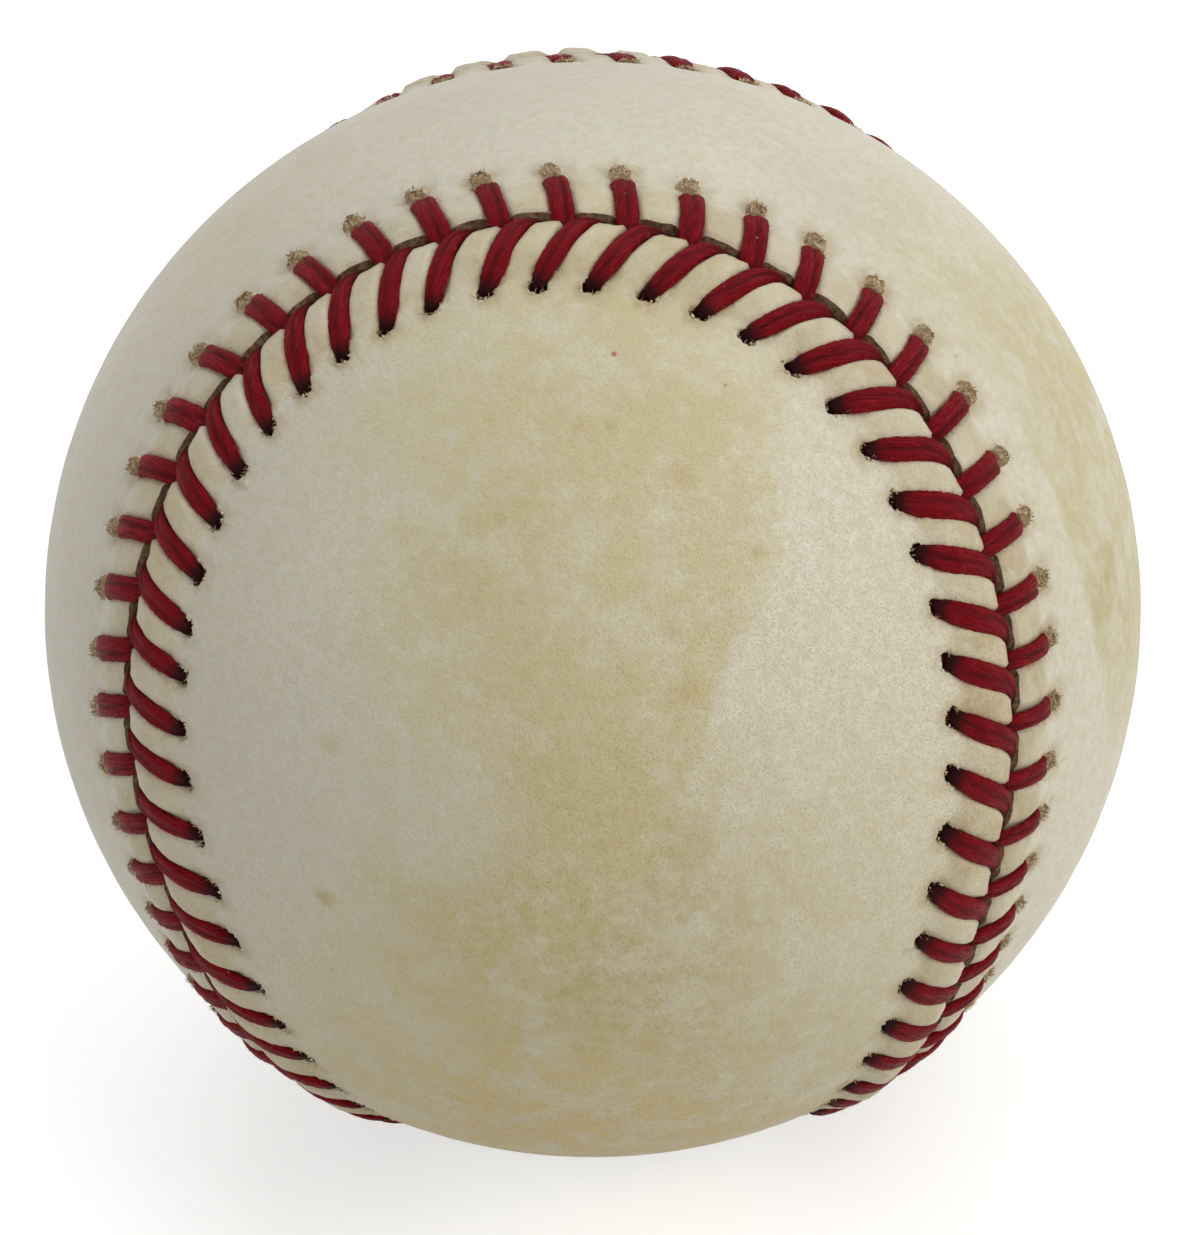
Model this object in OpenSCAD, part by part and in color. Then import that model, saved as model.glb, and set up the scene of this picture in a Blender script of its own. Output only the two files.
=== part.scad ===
// A hand-sewn baseball: a cork core in rubber, four layers of wound yarn, and two interlocking
// leather panels joined by 108 double stitches. The seam lies on the ball as twelve arcs of circle:
// each panel has two round ends, and each end's arc runs on into a flatter flank on either side.

/* [Ball] */
// Diameter over the leather, away from the seam
ball_d = 74; // [68:0.5:80]
// Thickness of the cover leather
leather_t = 1.25; // [1:0.05:1.5]
// Play between one layer and the next
layer_gap = 0.1; // [0.05:0.01:0.2]
// Play between the finishing yarn and the leather
cover_gap = 0.25; // [0.2:0.01:0.3]

/* [Core] */
// Diameter of the cork and rubber core
cork_d = 20.6; // [16:0.1:24]
// Thickness of the two black rubber cups round the cork
black_rubber_t = 4; // [2:0.1:5]
// Thickness of the red rubber gasket between the black cups
gasket_t = 1.2; // [0.8:0.1:2]
// Thickness of the two red rubber cups round the black ones
red_rubber_t = 2.3; // [1.5:0.1:3]
// Width of the joint between the two red cups
red_joint = 0.2; // [0.1:0.05:0.4]

/* [Windings] */
// Share of the wound yarn that is the first winding, of thick grey wool
first_grey_share = 0.79; // [0.7:0.01:0.8]
// Share that is the second winding, of white wool
white_wool_share = 0.09; // [0.05:0.01:0.1]
// Share that is the third winding, of thin grey wool; the finishing yarn is the rest
second_grey_share = 0.08; // [0.05:0.01:0.09]

/* [Seam] */
// Narrowest width of a panel, as the angle that it spans at the middle of the ball
neck_span = 48.8; // [44:0.1:52]
// Width of a panel's round end, as the angle that it spans at the middle of the ball
lobe_span = 86.7; // [84:0.1:90]
// Turn of the round end, either side of its tip, before it runs on into a flank
end_sweep = 63.8; // [58:0.1:68]
// Opening between the two panels along the seam
seam_gap = 1.4; // [1.3:0.05:1.8]
// Rise of the rolled lip of leather that the stitches draw up beside the seam
lip_h = 0.7; // [0.5:0.05:0.8]
// Flat leather left between a lip and the seam, and between a lip and its holes
lip_margin = 0.08; // [0.05:0.01:0.15]

/* [Stitches] */
// Double stitches round the ball, a multiple of four
stitches = 108; // [88:4:112]
// Place of the first stitch in its pitch, as a share
stitch_start_share = 0.74; // [0:0.01:1]
// Distance from the middle of the seam to the middle of a stitch hole
hole_inset = 4.75; // [4.6:0.05:5.2]
// Length of a punched hole, square to the seam
hole_l = 1.4; // [1.3:0.05:1.6]
// Width of a punched hole, along the seam
hole_w = 1.8; // [1.7:0.05:2]
// Width of the flattened, waxed thread
thread_w = 1.3; // [0.8:0.05:1.35]
// Thickness of the thread
thread_t = 0.9; // [0.6:0.05:0.95]
// Play between a thread and the lip that it lies on
thread_gap = 0.15; // [0.12:0.01:0.2]
// Lean of each leg: its end at the seam lies this far ahead of its hole
slant = 15; // [0:1:16]
// Distance along the seam by which the lower panel's legs run ahead of the upper panel's
needle_lead = 1.5; // [1.45:0.05:1.6]
// Depth to which a leg goes down into the seam and into its hole
leg_sink = 0.5; // [0.3:0.05:0.6]

/* [Hidden] */
$fn = 96;
// Facets round each edge of a thread
thread_fn = 16;
// Overrun of every cut past the faces that it goes through
over = 1;

// Place of the rows halfway up the lip, as a share of its width from the crest
lip_row_share = 0.3;
// Distance from the seam to the ring where the strips across a panel start
ring_inset = 7.5;
// Cells in each strip, an even number
strip_cells = 6;

ball_r = ball_d / 2;
black_rubber_d = cork_d + 2 * (layer_gap + black_rubber_t);
red_rubber_d = black_rubber_d + 2 * (layer_gap + red_rubber_t);
finishing_d = ball_d - 2 * (leather_t + cover_gap);
// Thickness of all four windings, without the play between them
yarn_t = (finishing_d - red_rubber_d) / 2 - 4 * layer_gap;
first_grey_d = red_rubber_d + 2 * (layer_gap + first_grey_share * yarn_t);
white_wool_d = first_grey_d + 2 * (layer_gap + white_wool_share * yarn_t);
second_grey_d = white_wool_d + 2 * (layer_gap + second_grey_share * yarn_t);

lip_w = hole_inset - hole_l / 2 - seam_gap / 2 - 2 * lip_margin;
lip_inset = seam_gap / 2 + lip_margin + lip_w / 2;
lip_r = (lip_h * lip_h + lip_w * lip_w / 4) / (2 * lip_h);
lip_depth = lip_r - lip_h;
leg_r = lip_r + thread_gap + thread_t / 2;
leg_dip = asin((lip_depth - leg_sink) / leg_r);

// Directions from the middle of the ball, for the upper panel's round end that hangs down round +X.
// The seam crosses the equator at join, each end's tip is at tip, and its arc meets its flank at knee.
function unit(v) = v / norm(v);
function span_angle(length) = length / ball_r * 180 / PI;
function turned(v, axis, turn) = v * cos(turn) + cross(axis, v) * sin(turn)
    + axis * (axis * v) * (1 - cos(turn));
// The direction from axis towards v, square to axis
function square_to(axis, v) = unit(v - (v * axis) * axis);

tip_drop = 90 - neck_span / 2;
end_spread = lobe_span / 2;
end_axis = [cos(tip_drop - end_spread), 0, -sin(tip_drop - end_spread)];
tip = [cos(tip_drop), 0, -sin(tip_drop)];
knee = turned(tip, end_axis, end_sweep);
join = unit([1, 1, 0]);
flank_pull = square_to(knee, end_axis);
flank_spread = atan2(1 - knee * join, flank_pull * join);
flank_axis = knee * cos(flank_spread) + flank_pull * sin(flank_spread);
flank_sweep = acos(square_to(flank_axis, knee) * square_to(flank_axis, join));

// Lengths along the seam, from one crossing of the equator to the next
end_len = ball_r * sin(end_spread) * 2 * end_sweep * PI / 180;
flank_len = ball_r * sin(flank_spread) * flank_sweep * PI / 180;
lobe_len = end_len + 2 * flank_len;
pitch = 4 * lobe_len / stitches;

// A direction on the seam of the round end, at a distance along it from the equator and moved aside
// over the ball, out of the round end
function swept(axis, start, spread, turn) =
    turned(axis * cos(spread) + square_to(axis, start) * sin(spread), axis, turn);
function lobe_dir(s, aside) =
    s < flank_len
        ? mirrored_y(swept(flank_axis, knee, flank_spread + span_angle(aside), flank_turn(flank_len - s)))
        : s > flank_len + end_len
            ? swept(flank_axis, knee, flank_spread + span_angle(aside), flank_turn(s - flank_len - end_len))
            : swept(end_axis, tip, end_spread + span_angle(aside), end_turn(s - flank_len));
function flank_turn(length) = length / flank_len * flank_sweep;
function end_turn(length) = (2 * length / end_len - 1) * end_sweep;
function mirrored_y(v) = [v.x, -v.y, v.z];

// The four round ends in turn: two hang down from the upper panel and two stand up from the lower
module at_lobe(k)
    rotate([0, 0, 90 * k])
        mirror([0, 0, k % 2])
            children();
function to_lobe(v, k) =
    let (w = [v.x, v.y, k % 2 == 0 ? v.z : -v.z])
    k == 0 ? w : k == 1 ? [-w.y, w.x, w.z] : k == 2 ? [-w.x, -w.y, w.z] : [w.y, -w.x, w.z];

// A point on the upper panel: s along the whole seam, inset from it, and up from the ball's surface
function on_panel(s, inset, up) =
    let (k = floor(s / lobe_len) % 4, side = k % 2 == 0 ? -1 : 1)
    (ball_r + up) * to_lobe(lobe_dir(s - floor(s / lobe_len) * lobe_len, side * inset), k);

// Rise of the lip's round back above the ball, at a distance from the seam
function lip_rise(inset) = sqrt(lip_r * lip_r - pow(inset - lip_inset, 2)) - lip_depth;

// The upper panel as one skin of leather, all on a grid. Its columns are the two sides of each stitch
// hole, and its rows follow the seam: over the lip on the outer face, and under it on the inner face.
// Inside the lip, a ring with one point a stitch carries strips that run across from side to side.
module panel_blank(lead) {
    seam_edge = seam_gap / 2;
    hole_near = hole_inset - hole_l / 2;
    hole_far = hole_inset + hole_l / 2;
    hole_lag = (hole_inset - lip_inset) * tan(slant) - lead;
    outer_insets = [seam_edge, lip_inset - lip_w * lip_row_share, lip_inset,
        lip_inset + lip_w * lip_row_share, hole_near, hole_far];
    outer_rises = [for (d = outer_insets) abs(d - lip_inset) < lip_w / 2 ? lip_rise(d) : 0];
    inner_insets = [seam_edge, lip_inset, hole_near, hole_far];
    inner_rises = [-leather_t, lip_h - leather_t, -leather_t, -leather_t];
    insets = concat(outer_insets, inner_insets);
    rises = concat(outer_rises, inner_rises);
    n = stitches;
    middles = [for (i = [0:n - 1]) (i + stitch_start_share) * pitch - hole_lag];
    columns = [for (m = middles, side = [-1, 1]) m + side * hole_w / 2];
    grid = [for (r = [0:9], s = columns) on_panel(s + 4 * lobe_len, insets[r], rises[r])];
    rings = [for (up = [0, -leather_t], m = middles) on_panel(m + 4 * lobe_len, ring_inset, up)];
    // Each strip joins the ring's points at equal distances from the tip of the first round end
    near_tip = ceil(n / 8 - stitch_start_share + hole_lag / pitch);
    strips = [for (face = [0, 1], p = [1:n / 2 - 2], m = [1:strip_cells - 1])
        let (a = rings[face * n + (near_tip + p) % n], b = rings[face * n + (near_tip + n - 1 - p) % n])
        norm(a) * unit(a + (b - a) * m / strip_cells)];
    function at(r, c) = r * 2 * n + c % (2 * n);
    function on_ring(face, i) = 20 * n + face * n + (i + n) % n;
    function on_strip(face, p, m) = m == 0 ? on_ring(face, near_tip + p)
        : m == strip_cells ? on_ring(face, near_tip - 1 - p)
        : 22 * n + (face * (n / 2 - 2) + p - 1) * (strip_cells - 1) + m - 1;
    function quad(a, b, c, d) = [[a, b, c], [a, c, d]];
    // The leather's two faces turn opposite ways, so the outer one is listed backwards
    function turned_over(faces) = [for (f = faces) [f.z, f.y, f.x]];
    function bands(first, last) = [for (r = [first:last], c = [0:2 * n - 1])
        if (r < last || c % 2 == 1)
            each quad(at(r, c), at(r, c + 1), at(r + 1, c + 1), at(r + 1, c))];
    function joins(face, row) = [for (i = [0:n - 1])
        each concat([[at(row, 2 * i), at(row, 2 * i + 1), on_ring(face, i)]],
            quad(at(row, 2 * i + 1), at(row, 2 * i + 2), on_ring(face, i + 1), on_ring(face, i)))];
    half = strip_cells / 2;
    function cap(face, p, q) = concat(
        [for (m = [0:half - 1]) [on_strip(face, p, 0), on_strip(face, q, m), on_strip(face, q, m + 1)]],
        [[on_strip(face, p, 0), on_strip(face, q, half), on_strip(face, p, strip_cells)]],
        [for (m = [half:strip_cells - 1])
            [on_strip(face, p, strip_cells), on_strip(face, q, m), on_strip(face, q, m + 1)]]);
    function middle(face) = concat(cap(face, 0, 1), turned_over(cap(face, n / 2 - 1, n / 2 - 2)),
        [for (p = [1:n / 2 - 3], m = [0:strip_cells - 1])
            each quad(on_strip(face, p, m), on_strip(face, p + 1, m), on_strip(face, p + 1, m + 1),
                on_strip(face, p, m + 1))]);
    edge = [for (c = [0:2 * n - 1]) each quad(at(0, c), at(0, c + 1), at(6, c + 1), at(6, c))];
    holes = [for (i = [0:n - 1])
        let (outer = [at(4, 2 * i), at(4, 2 * i + 1), at(5, 2 * i + 1), at(5, 2 * i)],
            inner = [at(8, 2 * i), at(8, 2 * i + 1), at(9, 2 * i + 1), at(9, 2 * i)])
        for (j = [0:3]) each quad(inner[j], inner[(j + 1) % 4], outer[(j + 1) % 4], outer[j])];
    polyhedron(points = concat(grid, rings, strips), faces = concat(
        turned_over(bands(0, 4)), turned_over(joins(0, 5)), turned_over(middle(0)), bands(6, 8),
        joins(1, 9), middle(1), edge, holes));
}

// Puts its children where a leg crosses its lip: Z points out of the ball, X from the seam to the
// hole and Y on along the seam. Inner legs lie on the panel whose round end this is.
module at_leg(k, i, inner) {
    upper = (k % 2 == 0) == inner;
    s = (i + stitch_start_share) * pitch + (upper ? -needle_lead / 2 : needle_lead / 2);
    aside = inner ? -lip_inset : lip_inset;
    out = lobe_dir(s, aside);
    on = square_to(out, lobe_dir(s + hole_w / 2, aside) - lobe_dir(s - hole_w / 2, aside));
    hole_side = inner ? -1 : 1;
    across = cross(on, out) * hole_side;
    at_lobe(k)
        multmatrix([[across.x, on.x, out.x, 0], [across.y, on.y, out.y, 0], [across.z, on.z, out.z, 0],
            [0, 0, 0, 1]])
            translate([0, 0, ball_r])
                rotate([0, 0, -slant])
                    children();
}

module legs(upper)
    for (k = [0:3], i = [0:stitches / 4 - 1])
        at_leg(k, i, (k % 2 == 0) == upper)
            leg();

// One leg of thread: out of its hole, over the lip and down into the seam
module leg()
    translate([0, 0, -lip_depth])
        rotate([90, 0, 0])
            rotate([0, 0, leg_dip])
                rotate_extrude(angle = 180 - 2 * leg_dip)
                    translate([leg_r, 0]) {
                        square([thread_t, thread_w - thread_t], center = true);
                        for (side = [-1, 1])
                            translate([0, side * (thread_w - thread_t) / 2])
                                circle(d = thread_t, $fn = thread_fn);
                    }

module upper_panel()
    color("ivory")
        panel_blank(-needle_lead / 2);

module lower_panel()
    color("antiquewhite")
        at_lobe(1)
            panel_blank(needle_lead / 2);

module upper_stitches()
    color("firebrick")
        legs(true);

module lower_stitches()
    color("crimson")
        legs(false);

// A hollow ball of one material, from an inner to an outer diameter
module layer(inner_d, outer_d)
    difference() {
        sphere(d = outer_d);
        sphere(d = inner_d);
    }

// Half of a layer, with its rim half a joint above the equator
module cup(inner_d, outer_d, joint)
    intersection() {
        layer(inner_d, outer_d);
        translate([-outer_d, -outer_d, joint / 2])
            cube(2 * outer_d);
    }

module cork_core()
    color("peru")
        sphere(d = cork_d);

module black_rubber_upper()
    color("dimgray")
        cup(cork_d + 2 * layer_gap, black_rubber_d, gasket_t);

module black_rubber_lower()
    mirror([0, 0, 1])
        black_rubber_upper();

module rubber_gasket()
    color("tomato")
        translate([0, 0, -gasket_t / 2])
            difference() {
                cylinder(h = gasket_t, d = black_rubber_d - 2 * layer_gap);
                translate([0, 0, -over])
                    cylinder(h = gasket_t + 2 * over, d = cork_d + 2 * layer_gap);
            }

module red_rubber_upper()
    color("indianred")
        cup(black_rubber_d + 2 * layer_gap, red_rubber_d, red_joint);

module red_rubber_lower()
    mirror([0, 0, 1])
        red_rubber_upper();

module first_grey_wool()
    color("gray")
        layer(red_rubber_d + 2 * layer_gap, first_grey_d);

module white_wool()
    color("whitesmoke")
        layer(first_grey_d + 2 * layer_gap, white_wool_d);

module second_grey_wool()
    color("darkgray")
        layer(white_wool_d + 2 * layer_gap, second_grey_d);

module finishing_yarn()
    color("snow")
        layer(second_grey_d + 2 * layer_gap, finishing_d);

cork_core();
black_rubber_lower();
black_rubber_upper();
rubber_gasket();
red_rubber_lower();
red_rubber_upper();
first_grey_wool();
white_wool();
second_grey_wool();
finishing_yarn();
upper_panel();
lower_panel();
upper_stitches();
lower_stitches();
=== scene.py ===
# A hand-sewn leather ball, seen from in front and above one round end of its seam.
# The meshes are worked out in millimetres and handed to Blender in metres.
import math

import bpy
import numpy as np
from mathutils import Matrix


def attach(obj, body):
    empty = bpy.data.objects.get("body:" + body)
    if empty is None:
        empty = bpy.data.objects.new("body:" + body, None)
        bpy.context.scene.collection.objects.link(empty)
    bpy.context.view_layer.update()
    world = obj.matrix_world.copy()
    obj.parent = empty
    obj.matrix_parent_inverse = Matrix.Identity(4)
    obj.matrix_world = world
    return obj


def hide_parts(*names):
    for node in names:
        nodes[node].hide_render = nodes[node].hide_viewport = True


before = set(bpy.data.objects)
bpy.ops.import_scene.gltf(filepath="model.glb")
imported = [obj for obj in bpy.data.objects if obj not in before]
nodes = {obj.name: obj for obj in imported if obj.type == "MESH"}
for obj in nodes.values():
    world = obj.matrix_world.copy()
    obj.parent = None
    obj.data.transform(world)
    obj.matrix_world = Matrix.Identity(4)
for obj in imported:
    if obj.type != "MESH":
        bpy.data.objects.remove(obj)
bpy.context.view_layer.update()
mm = 0.001
print("loaded the frame:", len(nodes), "nodes")

# The ball and its seam, as in the solids: spans and sweeps are angles in degrees
ball = {
    "radius": 37.0,
    "leather": 1.25,
    "neckSpan": 48.8,
    "lobeSpan": 86.7,
    "endSweep": 63.8,
    "stitches": 108,
}

# The camera: where it stands, and where the photograph has the middle of the ball, in its pixels
view = {
    "azimuth": 4.58,
    "elevation": 27.36,
    "roll": -4.1,
    "distance": 232.3,
    "photoSize": (1200, 1235),
    "middlePixel": (592.8, 608.9),
    "focalPixels": 3399,
    "sensor": 36,
}


def unit(v):
    return v / np.linalg.norm(v, axis=-1, keepdims=True)


# A vector turned about an axis
def turned(v, axis, turn):
    turn = np.asarray(turn)[..., None]
    along = (v @ axis)[..., None]
    return v * np.cos(turn) + np.cross(axis, v) * np.sin(turn) + axis * along * (1 - np.cos(turn))


# The direction square to an axis on the side where a vector points
def squareTo(axis, v):
    return unit(v - (v @ axis) * axis)


# The seam's round end and flank as arcs about two axes, for the end that hangs down round +X
radius = ball["radius"]
tipDrop = math.radians(90 - ball["neckSpan"] / 2)
endSpread = math.radians(ball["lobeSpan"] / 2)
endSweep = math.radians(ball["endSweep"])
endAxis = np.array([math.cos(tipDrop - endSpread), 0, -math.sin(tipDrop - endSpread)])
tip = np.array([math.cos(tipDrop), 0, -math.sin(tipDrop)])
knee = turned(tip, endAxis, endSweep)
join = unit(np.array([1.0, 1.0, 0.0]))
flankPull = squareTo(knee, endAxis)
flankSpread = math.atan2(1 - knee @ join, flankPull @ join)
flankAxis = knee * math.cos(flankSpread) + flankPull * math.sin(flankSpread)
flankSweep = math.acos(squareTo(flankAxis, knee) @ squareTo(flankAxis, join))
endLength = radius * math.sin(endSpread) * 2 * endSweep
flankLength = radius * math.sin(flankSpread) * flankSweep
lobeLength = endLength + 2 * flankLength
lobes = 4
seamLength = lobes * lobeLength
pitch = seamLength / ball["stitches"]


# The direction at an angle from an axis, turned about it from the side where start lies
def swept(axis, start, spread, turn):
    outward = squareTo(axis, start)
    v = axis * np.cos(spread)[..., None] + outward * np.sin(spread)[..., None]
    return turned(v, axis, turn)


# The direction of a point in mm along the first lobe's seam, and aside out of its round end
def lobeDirection(along, aside):
    aside = aside / radius
    onEnd = (2 * (along - flankLength) / endLength - 1) * endSweep
    onFlank = np.maximum(flankLength - along, along - flankLength - endLength) / flankLength
    end = swept(endAxis, tip, endSpread + aside, onEnd)
    flank = swept(flankAxis, knee, flankSpread + aside, onFlank * flankSweep)
    flank[..., 1] *= np.where(along < flankLength, -1, 1)
    return np.where((onFlank > 0)[..., None], flank, end)


# A point of the ball in mm: along the whole seam, aside towards the upper panel, and up
def seamPoint(along, aside, up):
    along, aside, up = np.broadcast_arrays(along % seamLength, aside, up)
    lobe = np.floor(along / lobeLength).astype(int) % lobes
    hangs = lobe % 2 == 0
    v = lobeDirection(along - lobe * lobeLength, np.where(hangs, -1, 1) * aside)
    x, y, z = v[..., 0], v[..., 1], v[..., 2] * np.where(hangs, 1, -1)
    quarterCos = np.array([1, 0, -1, 0])[lobe]
    quarterSin = np.array([0, 1, 0, -1])[lobe]
    v = np.stack([quarterCos * x - quarterSin * y, quarterSin * x + quarterCos * y, z], -1)
    return v * (radius + up)[..., None]


# 0 at low and 1 at high, with a gentle rise between them
def smooth(low, high, x):
    share = np.clip((x - low) / (high - low), 0, 1)
    return share * share * (3 - 2 * share)


# A smooth curve through the points, read at places counted in points from the first
def through(points, places):
    points = np.asarray(points, float)
    last = len(points) - 1
    first = np.clip(np.floor(places).astype(int), 0, last - 1)
    share = (places - first)[..., None]
    a, b = points[np.maximum(first - 1, 0)], points[first]
    c, d = points[first + 1], points[np.minimum(first + 2, last)]
    return b + share / 2 * (c - a + share * (2 * a - 5 * b + 4 * c - d + share * (3 * (b - c) + d - a)))


latticeRows = 97


# Smooth noise from -1 to 1 that repeats after period in x
def latticeNoise(x, y, seed, period):
    table = np.random.default_rng(seed).uniform(-1, 1, (period, latticeRows))
    left, low = np.floor(x).astype(int), np.floor(y).astype(int)
    dx, dy = smooth(0, 1, x - left), smooth(0, 1, y - low)
    i, j = left % period, low % latticeRows
    k, m = (i + 1) % period, (j + 1) % latticeRows
    near = table[i, j] * (1 - dx) + table[k, j] * dx
    far = table[i, m] * (1 - dx) + table[k, m] * dx
    return near * (1 - dy) + far * dy


# How the stitches run on each panel. A hole share is where in its pitch a hole lies, and a lead is how
# far on, in pitches, the seam end of its leg lies. Widths and tufts are shares of the full ones. All
# change along the seam, at places counted in lobes from the start of the front one, and come round
# again after two lobes, the tufts after four.
sewing = {
    "upper": {
        "side": 1, "holeInset": 4.86, "jitter": 0.04, "seed": 11,
        "holeShares": ((0, 0.66), (0.3, 0.64), (0.45, 0.51), (0.62, 0.54), (0.8, 0.68), (1, 0.79),
                       (1.8, 0.76)),
        "leads": ((0, 0.3), (0.62, 0.3), (0.82, 0.13), (0.95, 0.08), (1.3, 0.2)),
        "widths": ((0, 0.95), (0.2, 1), (0.78, 1), (0.95, 0.82), (1.4, 0.85)),
        "tufts": ((0, 0.5), (0.22, 1), (0.78, 1), (0.93, 0.25), (1.8, 0.4), (2.3, 0.12), (2.8, 0.12),
                  (3.5, 0.6)),
    },
    "lower": {
        "side": -1, "holeInset": 4.25, "jitter": 0.04, "seed": 12,
        "holeShares": ((0, 0.9), (0.09, 0.76), (0.17, 0.56), (0.32, 0.56), (0.4, 0.4), (0.7, 0.4),
                       (0.78, 0.48), (0.87, 0.48), (0.93, 0.42), (1, 0.48), (1.8, 0.85)),
        "leads": ((0, 0.46), (0.17, 0.5), (0.4, 0.64), (0.64, 0.7), (0.87, 0.66), (1.5, 0.56)),
        "widths": ((0, 0.8), (0.62, 0.86), (0.8, 1), (0.95, 0.88), (1.5, 0.85)),
    },
    "leanBend": 0.8,
    "frontLobe": 3,
    # From where to where, in lobes from the seam's start, the seam shows on the ball's outline
    "farLip": (1.38, 1.5, 1.72, 1.9),
}


# How many lobes of the seam lie before a stitch, counted with its fraction
def lobesBefore(stitch):
    return (stitch + 0.5) * lobes / ball["stitches"]


# A value of the sewing at a stitch
def sewn(panel, key, stitch, period=2):
    knots = np.array(sewing[panel][key])
    return np.interp(lobesBefore(stitch) - sewing["frontLobe"], knots[:, 0], knots[:, 1], period=period)


# Where a stitch lies along the seam at a distance from it
def stitchPlace(panel, stitch, inset):
    count = ball["stitches"]
    sew = sewing[panel]
    jitter = np.random.default_rng(sew["seed"]).uniform(-1, 1, count) * sew["jitter"]
    wander = np.interp(stitch, np.arange(count), jitter, period=count)
    lean = np.maximum(1 - inset / sew["holeInset"], 0) ** sewing["leanBend"]
    lean = lean * sewn(panel, "leads", stitch)
    return (stitch + sewn(panel, "holeShares", stitch) + wander + lean) * pitch


# 1 where the far seam shows on the ball's outline: there the lower lip stands above the thread
def farShare(stitch):
    return np.interp(lobesBefore(stitch), sewing["farLip"], (0, 1, 1, 0))


# The four-sided faces of a grid of point numbers that closes round its last direction
def quads(ids, flipped=False):
    ahead = np.roll(ids, -1, -1)
    a, b, c, d = ids[..., :-1, :], ahead[..., :-1, :], ahead[..., 1:, :], ids[..., 1:, :]
    corners = (a, d, c, b) if flipped else (a, b, c, d)
    return np.stack(corners, -1).reshape(-1, 4).tolist()


def addObject(name, data):
    made = bpy.data.objects.new(name, data)
    bpy.context.scene.collection.objects.link(made)
    return made


# A smooth mesh from points in mm
def makeMesh(name, points, faces, materials, faceMaterials=None):
    mesh = bpy.data.meshes.new(name)
    mesh.from_pydata((np.asarray(points) * mm).tolist(), [], faces)
    mesh.validate()
    for material in materials:
        mesh.materials.append(material)
    if faceMaterials is not None:
        mesh.polygons.foreach_set("material_index", faceMaterials)
    mesh.polygons.foreach_set("use_smooth", [True] * len(mesh.polygons))
    mesh.update()
    return addObject(name, mesh)


# Makes a piece ride on the ball in the place of a node, which it hides
def dress(piece, node):
    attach(piece, "root")
    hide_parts(node)
    triangles = sum(len(face.vertices) - 2 for face in piece.data.polygons)
    print("made", piece.name, "of", triangles, "triangles")


# Puts a lamp or camera at a place in metres, with its own axes along three directions
def standAt(thing, place, across, upward, back):
    rows = [[*row, p] for row, p in zip(np.stack([across, upward, back], 1).tolist(), place.tolist())]
    thing.matrix_world = Matrix(rows + [[0, 0, 0, 1]])


# Gives each point a number or a vector for the materials to read
def giveAttribute(piece, name, values):
    values = np.asarray(values, np.float32)
    kind = "FLOAT" if values.ndim == 1 else "FLOAT_VECTOR"
    attribute = piece.data.attributes.new(name, kind, "POINT")
    attribute.data.foreach_set("value" if values.ndim == 1 else "vector", values.ravel())


# The photograph's view of the ball, for marks that are placed by a pixel
azimuth, elevation, roll = (math.radians(view[k]) for k in ("azimuth", "elevation", "roll"))
viewBack = np.array([
    math.sin(azimuth) * math.cos(elevation),
    -math.cos(azimuth) * math.cos(elevation),
    math.sin(elevation),
])
level = np.array([math.cos(azimuth), math.sin(azimuth), 0])
upright = np.cross(viewBack, level)
viewRight = math.cos(roll) * level + math.sin(roll) * upright
viewUp = math.cos(roll) * upright - math.sin(roll) * level


# The point of the ball, in metres, that the photograph shows at a pixel
def onBall(pixel):
    right = (pixel[0] - view["middlePixel"][0]) / view["focalPixels"]
    up = (view["middlePixel"][1] - pixel[1]) / view["focalPixels"]
    ray = unit(viewRight * right + viewUp * up - viewBack)
    start = viewBack * view["distance"]
    half = start @ ray
    reach = -half - math.sqrt(half * half - view["distance"] ** 2 + radius**2)
    return (start + ray * reach) * mm


# Materials

# Sets a node's inputs to numbers, or links them to other nodes' outputs
def setInputs(tree, node, sockets):
    for key, value in sockets.items():
        if isinstance(value, bpy.types.NodeSocket):
            tree.links.new(value, node.inputs[key])
        else:
            node.inputs[key].default_value = value


def put(tree, kind, sockets=None, **settings):
    node = tree.nodes.new(kind)
    for key, value in settings.items():
        setattr(node, key, value)
    setInputs(tree, node, sockets or {})
    return node


def maths(tree, operation, *values):
    return put(tree, "ShaderNodeMath", dict(enumerate(values)), operation=operation).outputs[0]


def times(tree, first, second):
    return maths(tree, "MULTIPLY", first, second)


# One number worked out from one or two vectors
def vectorMaths(tree, operation, *vectors):
    node = put(tree, "ShaderNodeVectorMath", dict(enumerate(vectors)), operation=operation)
    return node.outputs["Value"]


# A value taken from one range to another and held inside it
def ranged(tree, value, low, high, toLow=0, toHigh=1, kind="LINEAR"):
    node = put(tree, "ShaderNodeMapRange", {
        "Value": value, "From Min": low, "From Max": high, "To Min": toLow, "To Max": toHigh},
        interpolation_type=kind)
    return node.outputs[0]


def noise(tree, vector, scale, detail=3, roughness=0.5):
    node = put(tree, "ShaderNodeTexNoise", {
        "Vector": vector, "Scale": scale, "Detail": detail, "Roughness": roughness})
    return node.outputs["Fac"]


# A position shifted by noise: the noise's scale, and the most that it shifts, in metres
def warped(tree, position, scale, size):
    wave = put(tree, "ShaderNodeTexNoise", {"Vector": position, "Scale": scale, "Detail": 2})
    shift = put(tree, "ShaderNodeVectorMath", {0: wave.outputs["Color"], "Scale": size}, operation="SCALE")
    moved = put(tree, "ShaderNodeVectorMath", {0: position, 1: shift.outputs[0]}, operation="ADD")
    return moved.outputs[0]


# One colour over another by a factor
def mixed(tree, factor, low, high):
    node = put(tree, "ShaderNodeMix", data_type="RGBA")
    setInputs(tree, node, {0: factor, 6: low, 7: high})
    return node.outputs[2]


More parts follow.
